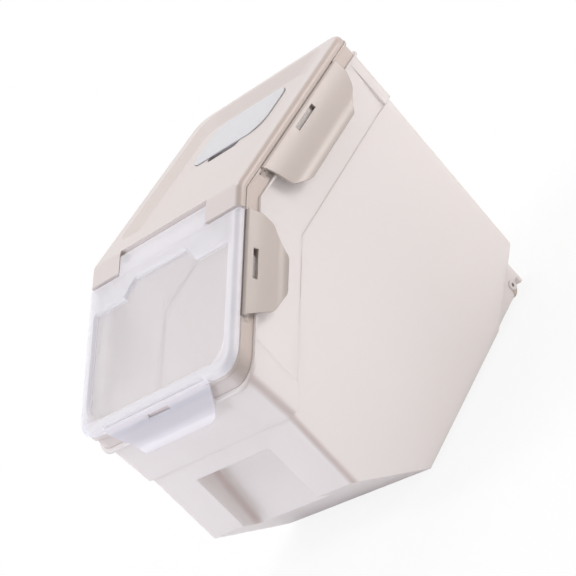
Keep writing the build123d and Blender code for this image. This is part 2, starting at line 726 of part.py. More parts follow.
tongue_half = ARM_IN - DOOR_SIDE_GAP
door_top = rounded_top(door_slab(0.0, PARTING_GAP, COVER_HEIGHT), COVER_HEIGHT, DOOR_ROUND)
tongue = block(
    -tongue_half,
    tongue_half,
    -DOOR_SHOULDER - DOOR_ROUND - HAIR,
    -DOOR_AXIS_RUN,
    DOOR_AXIS_RISE - DOOR_BARREL,
    DOOR_AXIS_RISE + DOOR_BARREL,
)
axis_x = Rot(Y=90)
door_axis = Pos(0, -DOOR_AXIS_RUN, DOOR_AXIS_RISE) * axis_x
tongue = tongue + door_axis * Cylinder(DOOR_BARREL, 2 * tongue_half)
rim_in = HALF_WIDTH - WINDOW_HALF - COVER_GAP - COVER_SHELL
rim_room = door_slab(COVER_WALL, -FAR, COVER_HEIGHT - COVER_SHELL)
land_face = rounded(
    HALF_WIDTH - COVER_GAP - rim_in,
    -FRONT_RUN + rim_in,
    -DOOR_SHOULDER - COVER_WALL,
    max(FRONT_CORNER - rim_in, SMALL_CORNER),
    SMALL_CORNER,
)
land_room = extrude(Pos(0, 0, DOOR_PANE_FOOT) * land_face, amount=-FAR)
rim_room = rim_room - extrude(land_face, amount=COVER_HEIGHT)
pocket = both_sides(
    block(
        WINDOW_SHOULDER_HALF + COVER_SHELL,
        HALF_WIDTH - WEB_WIDTH - COVER_SHELL * 2,
        -WINDOW_SHOULDER + COVER_SHELL,
        -PLUG_TOP - PLUG_WALL,
        -FAR,
        COVER_HEIGHT - COVER_SHELL,
    )
)
tongue_pocket = block(
    -tongue_half + COVER_WALL,
    tongue_half - COVER_WALL,
    -DOOR_SHOULDER,
    -DOOR_AXIS_RUN - DOOR_BARREL - COVER_WALL,
    -FAR,
    COVER_HEIGHT - COVER_SHELL,
)
window_depth = COVER_HEIGHT - DOOR_PANE_TOP
window_cut = extrude(Pos(0, 0, DOOR_PANE_TOP) * window(0.0), amount=window_depth)
door_flat = door_top - rim_room + tongue - land_room - pocket - tongue_pocket - window_cut
mouth_edges = [
    e
    for e in door_flat.edges()
    if e.bounding_box().min.Z > COVER_HEIGHT - HAIR
    and abs((e @ 0.5).X) < WINDOW_HALF + HAIR
    and -WINDOW_FOOT - HAIR < (e @ 0.5).Y < -WINDOW_NECK_TOP + HAIR
]
door_flat = chamfer(mouth_edges, WINDOW_DRAFT * 0.8)
plug_half = HALF_WIDTH - WEB_WIDTH - PLUG_GAP
plug_foot = -DOORWAY_FOOT + PLUG_GAP
plug = rounded(plug_half, plug_foot, -PLUG_TOP, DOORWAY_CORNER, DOORWAY_CORNER)
plug_in = DOORWAY_CORNER - PLUG_WALL
plug_hole = rounded(
    plug_half - PLUG_WALL, plug_foot + PLUG_WALL, -PLUG_TOP - PLUG_WALL, plug_in, plug_in
)
plug_rise = PLUG_DROP + DOOR_PANE_FOOT
door_flat = door_flat + extrude(Pos(0, 0, -PLUG_DROP) * (plug - plug_hole), amount=plug_rise)

# Front edge of the door, with the room and the ears of the door latch
latch_room = DOOR_LATCH_RUN - DOOR_LATCH_BARREL - SEAT_GAP
room_half = DOOR_LATCH_HALF_TOP + END_GAP
ear_half = room_half + EAR_LENGTH
door_flat = door_flat - block(-room_half, room_half, -FAR, -latch_room, -FAR, FAR)
front_wall = block(
    -room_half - COVER_WALL,
    room_half + COVER_WALL,
    -latch_room,
    -latch_room + COVER_SHELL,
    PARTING_GAP,
    COVER_HEIGHT - COVER_SHELL,
)
latch_axis = Pos(0, -DOOR_LATCH_RUN, DOOR_LATCH_RISE) * axis_x
ears = latch_axis * Cylinder(DOOR_LATCH_BARREL, 2 * ear_half)
ears = ears - block(-room_half, room_half, -FAR, 0, -FAR, FAR)
door_flat = door_flat + front_wall + ears
latch_pin_span = 2 * (DOOR_LATCH_HALF_TOP + DOOR_LATCH_PIN_REACH + END_GAP)
door_flat = door_flat - latch_axis * Cylinder(DOOR_LATCH_PIN + RUNNING_FIT, latch_pin_span)


def hinge_pin(radius, extra=0.0):
    length = DOOR_PIN_LENGTH + extra
    return Pos(ARM_IN, -DOOR_AXIS_RUN, DOOR_AXIS_RISE) * axis_x * Cylinder(radius, length)


door_flat = door_flat - both_sides(hinge_pin(DOOR_PIN_RADIUS + RUNNING_FIT, END_GAP))
door = on_slope(door_flat)
door_pin = on_slope(hinge_pin(DOOR_PIN_RADIUS))
top_cover = top_cover - both_sides(door_pin)

# Door gasket, on the land of the door
gasket_half = DOOR_GASKET_OUT
gasket_top = -DOORWAY_TOP + GASKET_CLEARANCE + DOOR_GASKET_WIDTH
gasket_foot = -DOORWAY_FOOT - GASKET_CLEARANCE - DOOR_GASKET_WIDTH
gasket_outer = rounded(
    gasket_half, gasket_foot, gasket_top, DOORWAY_CORNER + DOOR_GASKET_WIDTH, SMALL_CORNER
)
gasket_inner = rounded(
    gasket_half - DOOR_GASKET_WIDTH,
    gasket_foot + DOOR_GASKET_WIDTH,
    gasket_top - DOOR_GASKET_WIDTH,
    DOORWAY_CORNER,
    SMALL_CORNER / 3,
)
gasket_height = DOOR_PANE_FOOT - GASKET_CLEARANCE
door_gasket = on_slope(
    extrude(Pos(0, 0, GASKET_CLEARANCE) * (gasket_outer - gasket_inner), amount=gasket_height)
)

# Door latch, hanging in front of the frame
latch_x = Pos(0, latch_axis_y, latch_axis_z) * axis_x
latch_face = latch_axis_y - DOOR_LATCH_BARREL
latch_foot = latch_axis_z - DOOR_LATCH_DEPTH
latch_bend = (latch_face, latch_axis_z - DOOR_LATCH_STRAIGHT)
latch_upper = Line((latch_face, latch_axis_z), latch_bend)
latch_curl = TangentArc(latch_bend, (latch_face - DOOR_LATCH_FLARE, latch_foot), tangent=(0, -1))
latch_shift = Pos(DOOR_LATCH_THICKNESS, 0)
latch_section = make_face(
    [
        latch_upper,
        latch_curl,
        Line(latch_curl @ 1, (latch_shift * latch_curl) @ 1),
        latch_shift * latch_curl,
        latch_shift * latch_upper,
        Line(latch_upper @ 0, (latch_shift * latch_upper) @ 0),
    ]
)
latch_plate = extrude(Plane.YZ * latch_section, amount=DOOR_LATCH_HALF_TOP, both=True)
latch_shape = make_face(
    Polyline(
        (-DOOR_LATCH_HALF_TOP, latch_axis_z + DOOR_LATCH_BARREL),
        (DOOR_LATCH_HALF_TOP, latch_axis_z + DOOR_LATCH_BARREL),
        (DOOR_LATCH_HALF_TOP, latch_axis_z - DOOR_LATCH_BARREL * 2),
        (DOOR_LATCH_HALF_FOOT, latch_foot),
        (-DOOR_LATCH_HALF_FOOT, latch_foot),
        (-DOOR_LATCH_HALF_TOP, latch_axis_z - DOOR_LATCH_BARREL * 2),
        close=True,
    )
)
foot_corners = latch_shape.vertices().sort_by(Axis.Y)[:2]
latch_shape = fillet(foot_corners, LATCH_SHOULDER)
latch_plate = latch_plate & extrude(Plane.XZ * latch_shape, amount=FAR, both=True)
latch_slot = block(
    -DOOR_SLOT_HALF,
    DOOR_SLOT_HALF,
    -FAR,
    0,
    latch_axis_z - DOOR_SLOT_FOOT,
    latch_axis_z - DOOR_SLOT_TOP,
)
latch_barrel = latch_x * Cylinder(DOOR_LATCH_BARREL, 2 * DOOR_LATCH_HALF_TOP)
latch_pins = latch_x * Cylinder(
    DOOR_LATCH_PIN, 2 * (DOOR_LATCH_HALF_TOP + DOOR_LATCH_PIN_REACH)
)
door_latch = latch_barrel + latch_pins + latch_plate - latch_slot

# Wheels and axles
wheel = Cylinder(WHEEL_RADIUS, WHEEL_WIDTH)
wheel = chamfer(wheel.edges().filter_by(GeomType.CIRCLE), WHEEL_ROUND)
wheel = wheel - Cylinder(AXLE_RADIUS + RUNNING_FIT, WHEEL_WIDTH)
wheel = Pos(WHEEL_X, WHEEL_Y, WHEEL_Z) * axis_x * wheel
axle_end = CHEEK_OUT + BOSS_OUT - BOSS_SINK
axle_place = Pos((CHEEK_IN + axle_end) / 2, WHEEL_Y, WHEEL_Z) * axis_x
wheel_axle = axle_place * Cylinder(AXLE_RADIUS, axle_end - CHEEK_IN)

rear_latch = side_latch(*rear_span, REAR_SLOT_LENGTH, 0.0)
front_latch = on_slope(side_latch(*front_span, FRONT_SLOT_LENGTH, FRONT_SLOT_DROP))

# The base centre of the whole container becomes the origin
front_reach = door_latch.bounding_box().min.Y
rear_reach = REAR_REACH + FLANGE_OVERHANG
home = Pos(0, -(front_reach + rear_reach) / 2, PARTING_HEIGHT + FOOT_DROP)

single = {
    "bin": bin_body,
    "lid_frame": lid_frame,
    "lid_gasket": lid_gasket,
    "top_cover": top_cover,
    "measuring_scoop": scoop,
    "door": door,
    "door_gasket": door_gasket,
    "door_latch": door_latch,
}
paired = {
    "side_latch_rear": rear_latch,
    "side_latch_front": front_latch,
    "door_hinge_pin": door_pin,
    "wheel": wheel,
    "wheel_axle": wheel_axle,
}


def save(name, shape):
    placed = home * shape
    solids = placed.solids()
    piece = solids[0] if len(solids) == 1 else placed
    piece.label = name
    export_step(piece, "parts/" + name + ".step")
    size = piece.bounding_box().size
    print(name, len(solids), round(size.X, 1), round(size.Y, 1), round(size.Z, 1))


for name, shape in single.items():
    save(name, shape)
for name, shape in paired.items():
    save(name + "_right", shape)
    save(name + "_left", mirror(shape, about=Plane.YZ))
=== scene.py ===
import math

import bpy
from mathutils import Matrix, Vector
from mathutils.bvhtree import BVHTree


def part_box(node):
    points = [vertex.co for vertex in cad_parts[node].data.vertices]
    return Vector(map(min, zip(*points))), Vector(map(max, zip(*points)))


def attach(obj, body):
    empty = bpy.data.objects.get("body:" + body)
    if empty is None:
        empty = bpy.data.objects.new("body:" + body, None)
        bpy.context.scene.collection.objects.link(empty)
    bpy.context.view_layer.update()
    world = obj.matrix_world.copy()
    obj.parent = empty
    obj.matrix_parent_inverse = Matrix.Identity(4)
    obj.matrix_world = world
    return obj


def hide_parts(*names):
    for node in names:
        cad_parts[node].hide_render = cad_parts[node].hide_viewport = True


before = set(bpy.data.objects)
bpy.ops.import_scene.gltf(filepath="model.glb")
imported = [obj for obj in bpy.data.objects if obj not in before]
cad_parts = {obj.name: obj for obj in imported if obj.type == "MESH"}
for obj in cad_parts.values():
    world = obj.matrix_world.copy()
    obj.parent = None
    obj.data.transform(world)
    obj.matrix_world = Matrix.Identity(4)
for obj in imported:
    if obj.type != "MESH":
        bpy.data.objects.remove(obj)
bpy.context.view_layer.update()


# Places of the part, in metres: the fold of the lid and the way down its slope
FOLD_Y = -0.0407022
FOLD_Z = 0.3004
SLOPE_TURN = math.radians(28.45)
FOLD = Vector((0.0, FOLD_Y, FOLD_Z))
UP = Vector((0.0, 0.0, 1.0))
SLOPE_DOWN = Vector((0.0, -math.cos(SLOPE_TURN), -math.sin(SLOPE_TURN)))
SLOPE_NORMAL = Vector((0.0, -math.sin(SLOPE_TURN), math.cos(SLOPE_TURN)))

SIDES = ("left", "right")


def way_down(point):
    """How far a point lies down the slope from the fold."""
    return (point - FOLD).dot(SLOPE_DOWN)


def add_to_scene(item):
    bpy.context.scene.collection.objects.link(item)
    return item


def linear(red, green, blue):
    """The linear colour of an sRGB one given in 0 to 255."""
    def one(value):
        value = value / 255
        return value / 12.92 if value <= 0.04045 else ((value + 0.055) / 1.055) ** 2.4
    return (one(red), one(green), one(blue), 1.0)


# Node trees
class Graph:
    """Adds nodes to one node tree and joins them."""

    def __init__(self, owner):
        owner.use_nodes = True
        self.tree = owner.node_tree
        self.tree.nodes.clear()

    def add(self, kind, **settings):
        node = self.tree.nodes.new("ShaderNode" + kind)
        for key, value in settings.items():
            setattr(node, key, value)
        return node

    def feed(self, socket, source):
        """Link the socket to another one, or set it to a value."""
        if isinstance(source, bpy.types.NodeSocket):
            self.tree.links.new(source, socket)
        else:
            socket.default_value = source

    def math(self, operation, *sources):
        node = self.add("Math", operation=operation)
        for socket, source in zip(node.inputs, sources):
            self.feed(socket, source)
        return node.outputs[0]

    def apart(self, vector):
        """The three parts of a vector."""
        node = self.add("SeparateXYZ")
        self.feed(node.inputs[0], vector)
        return node.outputs

    def span(self, value, start=0.0, end=1.0, low=0.0, high=1.0, how="LINEAR"):
        """Take start..end to low..high."""
        node = self.add("MapRange", interpolation_type=how)
        for name, source in (("From Min", start), ("From Max", end), ("To Min", low),
                             ("To Max", high), ("Value", value)):
            self.feed(node.inputs[name], source)
        return node.outputs["Result"]

    def soft_step(self, value, ends):
        """0 before the first end and 1 past the second, with a soft edge between."""
        return self.span(value, *ends, how="SMOOTHSTEP")

    def mix_colours(self, share, first, second, how="MIX"):
        node = self.add("Mix", data_type="RGBA", blend_type=how)
        self.feed(node.inputs[0], share)
        self.feed(node.inputs[6], first)
        self.feed(node.inputs[7], second)
        return node.outputs[2]

    def noise(self, place, scale, detail=2.0):
        node = self.add("TexNoise")
        node.inputs["Scale"].default_value = scale
        node.inputs["Detail"].default_value = detail
        self.feed(node.inputs["Vector"], place)
        return node.outputs["Fac"]

    def mix_shaders(self, share, first, second):
        node = self.add("MixShader")
        for socket, source in zip(node.inputs, (share, first, second)):
            self.feed(socket, source)
        return node.outputs[0]

    def finish(self, surface, kind="OutputMaterial"):
        self.feed(self.add(kind).inputs["Surface"], surface)


# Plastics: broad patches of tone and roughness, mould grain, softened edges, painted shade on
# turned faces and a crease colour painted in by an occlusion mask
PATCH_SCALE = 7.0
PATCH_DETAIL = 3.0
GRAIN_SCALE = 2400.0
GRAIN_STRENGTH = 0.02
GRAIN_DEPTH = 0.0004
ROUGH_SPREAD = 0.05
SPECULAR = 0.5
EDGE_SAMPLES = 4
# Samples and open range of the occlusion mask that paints the crease colour in
CREASE_SAMPLES = 6
CREASE_OPEN = (0.15, 0.85)

# How much of a clear wall's clearness is left where the wall is seen edge on
FACING_BLEND = 0.35
CLEAR_AT_EDGE = 0.35
CLEAR_AT_EDGE_DOOR = 0.6

# Soft edges of the door's clear pane: down the slope from the fold, and out from the middle
PANE_HEAD = (0.05, 0.053)
PANE_FOOT = (0.162, 0.1595)
PANE_SIDE = (0.101, 0.0985)
NECK_HEAD = (0.034, 0.0365)
NECK_TAPER = (0.0035, 0.001)

# Painted shade: where the darker tone of turned faces starts, and the painted shade on the
# cover's leaning rear rim
ROUND_START = 0.005
SIDE_START = 0.12
REAR_RIM_Y = (0.13, 0.16)
REAR_RIM_LEAN = (0.995, 0.975)
REAR_RIM_SHARE = 0.45


def pane_share(graph, place):
    """1 in the clear pane of the door, 0 on its frame."""
    across = graph.math("ABSOLUTE", graph.apart(place)["X"])
    moved = graph.add("VectorMath", operation="SUBTRACT")
    graph.feed(moved.inputs[0], place)
    moved.inputs[1].default_value = FOLD
    dot = graph.add("VectorMath", operation="DOT_PRODUCT")
    graph.feed(dot.inputs[0], moved.outputs["Vector"])
    dot.inputs[1].default_value = SLOPE_DOWN
    along = dot.outputs["Value"]

    taper = graph.math("SUBTRACT", across, along)
    neck = graph.math("MULTIPLY", graph.soft_step(taper, NECK_TAPER),
                      graph.soft_step(along, NECK_HEAD))
    share = graph.math("MAXIMUM", graph.soft_step(along, PANE_HEAD), neck)
    share = graph.math("MULTIPLY", share, graph.soft_step(across, PANE_SIDE))
    return graph.math("MULTIPLY", share, graph.soft_step(along, PANE_FOOT))


def round_shade_share(graph, coords, full):
    """Share of painted shade: rises on rounds and tapers, where a face points neither straight
    across nor along.
    """
    across = graph.math("ABSOLUTE", graph.apart(coords["Normal"])["X"])
    square = graph.math("POWER", across, 2.0)
    product = graph.math("MULTIPLY", square, graph.math("SUBTRACT", 1.0, square))
    return graph.span(product, ROUND_START, full)


def side_shade_share(graph, coords, full):
    """Share of painted shade: rises as a face turns to a side, and on the leaning rear rim of the
    cover.
    """
    parts = graph.apart(coords["Normal"])
    side = graph.span(graph.math("ABSOLUTE", parts["X"]), SIDE_START, full)
    rear = graph.span(graph.apart(coords["Object"])["Y"], *REAR_RIM_Y)
    lean = graph.span(parts["Z"], *REAR_RIM_LEAN, high=REAR_RIM_SHARE)
    return graph.math("MAXIMUM", side, graph.math("MULTIPLY", rear, lean))


def painted_reflection_bands(graph, place, foot, head, tones):
    """Painted reflection: a colour that changes with height, from foot to head."""
    ramp = graph.add("ValToRGB")
    stops = ramp.color_ramp.elements
    stops[0].position, stops[0].color = tones[0]
    stops[1].position, stops[1].color = tones[-1]
    for position, tone in tones[1:-1]:
        stops.new(position).color = tone
    graph.feed(ramp.inputs["Fac"], graph.span(graph.apart(place)["Z"], foot, head))
    return ramp.outputs["Color"]


def plastic(name, light, dark, rough, glow=0.0, clear=0.0, edge=0.0006, painted_turn_shade=None,
            crease_painted_shading=None, pane=None, painted_reflection=None):
    """A moulded plastic.

    light, dark and rough are its patchy colour and its roughness. glow is the share of light
    that comes through it scattered, clear the share that is seen straight through it, and
    edge the radius of its softened edges. painted_turn_shade is (colour, share function, where
    it is full) of the painted shade on turned faces. crease_painted_shading is (colour, reach)
    of the colour an occlusion mask paints into creases: painted shade where it is darker than
    the plastic, painted light where it is lighter. pane is (colour, share seen through) and
    painted_reflection holds the arguments of painted_reflection_bands, bands of painted
    reflection.
    """
    material = bpy.data.materials.new(name)
    graph = Graph(material)
    coords = graph.add("TexCoord").outputs
    place = coords["Object"]

    patches = graph.noise(place, PATCH_SCALE, PATCH_DETAIL)
    paint = graph.mix_colours(patches, dark, light)
    # Painted shade: a darker colour on faces by how they turn, where less light falls
    if painted_turn_shade:
        colour, share_of, full = painted_turn_shade
        paint = graph.mix_colours(share_of(graph, coords, full), paint, colour)
    # Painted reflection: lighter and darker bands by height
    if painted_reflection:
        paint = graph.mix_colours(1.0, paint, painted_reflection_bands(graph, place, *painted_reflection), "MULTIPLY")
    # Painted shading in creases: an occlusion mask draws the crease colour into creases and
    # seams, painted shade where that colour is darker than the plastic and painted light where it
    # is lighter
    if crease_painted_shading:
        colour, reach = crease_painted_shading
        crease_shading_mask = graph.add("AmbientOcclusion", samples=CREASE_SAMPLES)
        crease_shading_mask.inputs["Distance"].default_value = reach
        paint = graph.mix_colours(graph.span(crease_shading_mask.outputs["AO"], *CREASE_OPEN), colour, paint)
    if pane:
        colour, pane_clear = pane
        in_pane = pane_share(graph, place)
        paint = graph.mix_colours(in_pane, paint, colour)

    soft_edge = graph.add("Bevel", samples=EDGE_SAMPLES)
    soft_edge.inputs["Radius"].default_value = edge
    relief = graph.add("Bump")
    relief.inputs["Strength"].default_value = GRAIN_STRENGTH
    relief.inputs["Distance"].default_value = GRAIN_DEPTH
    graph.feed(relief.inputs["Height"], graph.noise(place, GRAIN_SCALE))
    graph.feed(relief.inputs["Normal"], soft_edge.outputs["Normal"])
    body = graph.add("BsdfPrincipled")
    body.inputs["Specular IOR Level"].default_value = SPECULAR
    graph.feed(body.inputs["Base Color"], paint)
    graph.feed(body.inputs["Roughness"],
               graph.span(patches, low=rough - ROUGH_SPREAD, high=rough + ROUGH_SPREAD))
    graph.feed(body.inputs["Normal"], relief.outputs["Normal"])
    surface = body.outputs[0]

    if glow:
        through = graph.add("BsdfTranslucent")
        graph.feed(through.inputs["Color"], paint)
        surface = graph.mix_shaders(glow, surface, through.outputs[0])
    if clear:
        facing = graph.add("LayerWeight")
        facing.inputs["Blend"].default_value = FACING_BLEND
        at_edge = CLEAR_AT_EDGE_DOOR if pane else CLEAR_AT_EDGE
        seen = graph.span(facing.outputs["Facing"], low=clear, high=clear * at_edge)
        if pane:
            seen = graph.math("MULTIPLY_ADD", in_pane, pane_clear - clear, seen)
        open_ray = graph.add("BsdfTransparent")
        surface = graph.mix_shaders(seen, surface, open_ray.outputs[0])
    graph.finish(surface)
    return material


BEIGE_LIGHT = linear(213, 203, 199)
BEIGE_DARK = linear(209, 199, 195)
# Painted light: the fine seams of the lid get little light, so the crease colour painted into
# them is lighter than its plastic
SEAM_PAINTED_LIGHT = linear(255, 250, 246)

# Painted shade: darker on the bin's rounded corners and in its creases
bin_shell = plastic(
    "bin_shell", linear(250, 247, 246), linear(248, 245, 244), 0.36, glow=0.45, edge=0.0012,
    painted_turn_shade=(linear(234, 225, 222), round_shade_share, 0.25), crease_painted_shading=(linear(222, 212, 207), 0.0018))
# Painted shade on the cover's side faces and rear rim, painted light in its seams
lid_plastic = plastic(
    "lid_plastic", BEIGE_LIGHT, BEIGE_DARK, 0.36,
    painted_turn_shade=(linear(194, 180, 173), side_shade_share, 0.6), crease_painted_shading=(SEAM_PAINTED_LIGHT, 0.0012))
# Painted shade on the frame's side faces, painted light in its seams
frame_plastic = plastic(
    "frame_plastic", BEIGE_LIGHT, BEIGE_DARK, 0.36,
    painted_turn_shade=(linear(200, 187, 180), side_shade_share, 0.6), crease_painted_shading=(SEAM_PAINTED_LIGHT, 0.0015))
# Painted shade in the creases round and under the latches
latch_plastic = plastic(
    "latch_plastic", linear(194, 183, 177), linear(190, 179, 173), 0.36,
    crease_painted_shading=(linear(150, 131, 121), 0.003))
# Painted shade on the door's rounds and the tapered side walls of its window
door_plastic = plastic(
    "door_plastic", linear(250, 249, 251), linear(248, 247, 249), 0.3, glow=0.5, clear=0.33,
    edge=0.0008, painted_turn_shade=(linear(234, 234, 240), round_shade_share, 0.2),
    pane=(linear(253, 251, 252), 0.6))
latch_low, latch_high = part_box("door_latch")
# Painted reflection of the door latch, by the share of its height: lighter and darker bands for
# the light its curved face would catch
latch_painted_reflection = (
    (0.0, linear(246, 246, 247)),
    (0.05, linear(255, 255, 255)),
    (0.15, linear(255, 255, 255)),
    (0.2, linear(246, 246, 248)),
    (0.6, linear(245, 246, 248)),
    (0.7, linear(239, 241, 244)),
    (0.79, linear(240, 242, 245)),
    (0.84, linear(250, 250, 251)),
    (1.0, linear(254, 254, 254)),
)
door_latch_plastic = plastic(
    "door_latch_plastic", linear(254, 252, 254), linear(252, 250, 253), 0.3, glow=0.5,
    clear=0.3, edge=0.0008, painted_reflection=(latch_low.z, latch_high.z, latch_painted_reflection))
# Painted shade in the creases of the scoop, its well and its finger notch
scoop_plastic = plastic(
    "scoop_plastic", linear(238, 237, 239), linear(235, 234, 236), 0.35, glow=0.3,
    crease_painted_shading=(linear(120, 104, 94), 0.0014))
seal = plastic("seal", linear(235, 233, 230), linear(230, 228, 225), 0.6)
wheel_plastic = plastic("wheel_plastic", linear(196, 182, 172), linear(188, 174, 164), 0.5)
steel = plastic("pin_steel", linear(120, 116, 112), linear(104, 100, 97), 0.35)

finishes = {
    "bin": bin_shell,
    "lid_frame": frame_plastic,
    "top_cover": lid_plastic,
    "lid_gasket": seal,
    "door_gasket": seal,
    "measuring_scoop": scoop_plastic,
    "door": door_plastic,
    "door_latch": door_latch_plastic,
}
for side in SIDES:
    finishes["side_latch_rear_" + side] = latch_plastic
    finishes["side_latch_front_" + side] = latch_plastic
    finishes["wheel_" + side] = wheel_plastic
    finishes["wheel_axle_" + side] = steel
    finishes["door_hinge_pin_" + side] = steel
for name, material in finishes.items():
    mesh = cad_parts[name].data
    mesh.materials.clear()
    mesh.materials.append(material)


# Pieces reshaped for the looks: copies of nodes with some of their points moved
SHARP_TURN = math.radians(28)

# Hinge lines of the side latches: out from the middle, and below the plane of the lid
HINGE_X = 0.1144
HINGE_DEPTH = 0.0027

# Ears of the frame that hold the latches' pins, from EAR_FROM out. They are cut at EAR_FACE,
# and what lies within PIN_HOLE_REACH of a hinge line is drawn together and sunk behind the cut.
EAR_FROM = 0.11
EAR_FACE = 0.11402
PIN_HOLE_REACH = 0.0015
PIN_HOLE_SHARE = 0.1
PIN_HOLE_SINK = 0.0008

# Ends of the ears, along y at the rear and down the slope at the front. Below EAR_END_TOP,
# over the plane of the lid, they taper to the frame's skirt.
EAR_REAR = (-0.0159, 0.1595)
EAR_FRONT = (0.0178, 0.1282)
EAR_END_REACH = 0.0002
EAR_END_TOP = -0.0026
SKIRT_FACE = 0.1118

# Wings of the side latches, in the same measures. What is past them is a pin, drawn thin.
REAR_WING = (-0.01175, 0.15535)
FRONT_WING = (0.02195, 0.12405)
PIN_SHARE = 0.01

# Heights over the plane of the lid: the foot of the cover's rim, and where the looks piece has it
SEAM_FOOT = (0.0007, 0.0011)
SEAM_CLOSED = 0.0003


def reshaped(node, body, name, rule):
    """A copy of a node, with its points moved by the rule, that replaces the node."""
    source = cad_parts[node]
    item = source.copy()
    item.data = source.data.copy()
    item.name = name
    item.data.name = name
    add_to_scene(item)
    item.parent = None
    item.matrix_world = Matrix.Identity(4)
    for vertex in item.data.vertices:
        vertex.co = rule(vertex.co)
    normals = item.data.attributes.get("custom_normal")
    if normals:
        item.data.attributes.remove(normals)
    item.data.shade_smooth()
    item.data.set_sharp_from_angle(angle=SHARP_TURN)
    item.data.update()
    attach(item, body)
    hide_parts(node)


def rear_axis(point):
    """The nearest point of the rear latch's hinge line."""
    return Vector((math.copysign(HINGE_X, point.x), point.y, FOLD_Z - HINGE_DEPTH))


def front_axis(point):
    """The nearest point of the front latch's hinge line."""
    centre = FOLD + SLOPE_DOWN * way_down(point) - SLOPE_NORMAL * HINGE_DEPTH
    centre.x = math.copysign(HINGE_X, point.x)
    return centre


def flat_ears(point):
    """Cut the ears to a flat face, close their pin holes and taper their ends."""
    rise = point - FOLD
    height = max(rise.dot(UP), rise.dot(SLOPE_NORMAL))
    ends = [abs(point.y - end) for end in EAR_REAR]
    ends += [abs(way_down(point) - end) for end in EAR_FRONT]
    if abs(point.x) > SKIRT_FACE and height < EAR_END_TOP and min(ends) < EAR_END_REACH:
        return Vector((math.copysign(SKIRT_FACE, point.x), point.y, point.z))
    if abs(point.x) > EAR_FROM:
        for axis in (rear_axis(point), front_axis(point)):
            if (point - axis).length < PIN_HOLE_REACH:
                sink = Vector((math.copysign(PIN_HOLE_SINK, point.x), 0, 0))
                return axis + (point - axis) * PIN_HOLE_SHARE - sink
    if abs(point.x) > EAR_FACE:
        return Vector((math.copysign(EAR_FACE, point.x), point.y, point.z))
    return point.copy()


def short_pins(wing, measure, axis_of):
    """Thin the pins at the ends of a latch, which the frame's ears hide."""
    def rule(point):
        if wing[0] <= measure(point) <= wing[1]:
            return point.copy()
        axis = axis_of(point)
        return axis + (point - axis) * PIN_SHARE
    return rule


def closer_cover(point):
    """Close the seam between the cover and the frame under it."""
    rise = point - FOLD
    way = UP if rise.dot(UP) >= rise.dot(SLOPE_NORMAL) else SLOPE_NORMAL
    lift = rise.dot(way)
    if SEAM_FOOT[0] < lift < SEAM_FOOT[1]:
        return point - way * (lift - SEAM_CLOSED)
    return point.copy()


reshaped("lid_frame", "lid", "lid_frame_look", flat_ears)
reshaped("top_cover", "lid", "top_cover_look", closer_cover)
for side in SIDES:
    reshaped("side_latch_rear_" + side, "rear_latch_" + side, "rear_latch_look_" + side,
             short_pins(REAR_WING, lambda point: point.y, rear_axis))
    reshaped("side_latch_front_" + side, "front_latch_" + side, "front_latch_look_" + side,
             short_pins(FRONT_WING, way_down, front_axis))


# Scoop: its cup under a thin rim plate that covers the well
PLATE_TOP = FOLD_Z + 0.0048
PLATE_FOOT = FOLD_Z + 0.0034
PLATE_CORNER = 0.018
LEAST_CORNER = 0.002
QUARTER_STEPS = 8
CUP_INSET = 0.007
CUP_WALL = 0.0018
CUP_CEILING = 0.0004

# The plate reaches RIM_OUT past the scoop's box, with a rounded edge of (inset, drop) points
RIM_OUT = 0.0011
RIM_EDGE = ((0.0, 0.0006), (0.0002, 0.0002), (0.0007, 0.0))


def rounded_loop(half, y_from, y_to, inset, height):
    """Points round a rectangle with rounded corners, pulled in by the inset."""
    radius = max(PLATE_CORNER - inset, LEAST_CORNER)
    half, y_from, y_to = half - inset, y_from + inset, y_to - inset
    centres = ((half - radius, y_to - radius), (radius - half, y_to - radius),
               (radius - half, y_from + radius), (half - radius, y_from + radius))
    points = []
    for quarter, (x, y) in enumerate(centres):
        for step in range(QUARTER_STEPS + 1):
            angle = (quarter + step / QUARTER_STEPS) * math.pi / 2
            points.append((x + radius * math.cos(angle), y + radius * math.sin(angle), height))
    return points


def add_scoop():
    low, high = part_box("measuring_scoop")
    # (inset, height) of each loop, from the ceiling of the cup round its foot to the plate
    levels = [
        (CUP_INSET + CUP_WALL, PLATE_FOOT - CUP_CEILING),
        (CUP_INSET + CUP_WALL, low.z),
        (CUP_INSET, low.z),
        (CUP_INSET, PLATE_FOOT),
        (-RIM_OUT, PLATE_FOOT),
    ]
    levels += [(inset - RIM_OUT, PLATE_TOP - drop) for inset, drop in RIM_EDGE]
    points, faces = [], []
    for inset, height in levels:
        points += rounded_loop(high.x, low.y, high.y, inset, height)
    count = len(points) // len(levels)
    for ring in range(len(levels) - 1):
        for spot in range(count):
            after = (spot + 1) % count
            faces.append((ring * count + spot, ring * count + after,
                          (ring + 1) * count + after, (ring + 1) * count + spot))
    faces.append(tuple(range(len(points) - count, len(points))))
    faces.append(tuple(reversed(range(count))))
    mesh = bpy.data.meshes.new("scoop_look")
    mesh.from_pydata(points, [], faces)
    mesh.materials.append(scoop_plastic)
    item = add_to_scene(bpy.data.objects.new("scoop_look", mesh))
    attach(item, "scoop")
    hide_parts("measuring_scoop")


add_scoop()


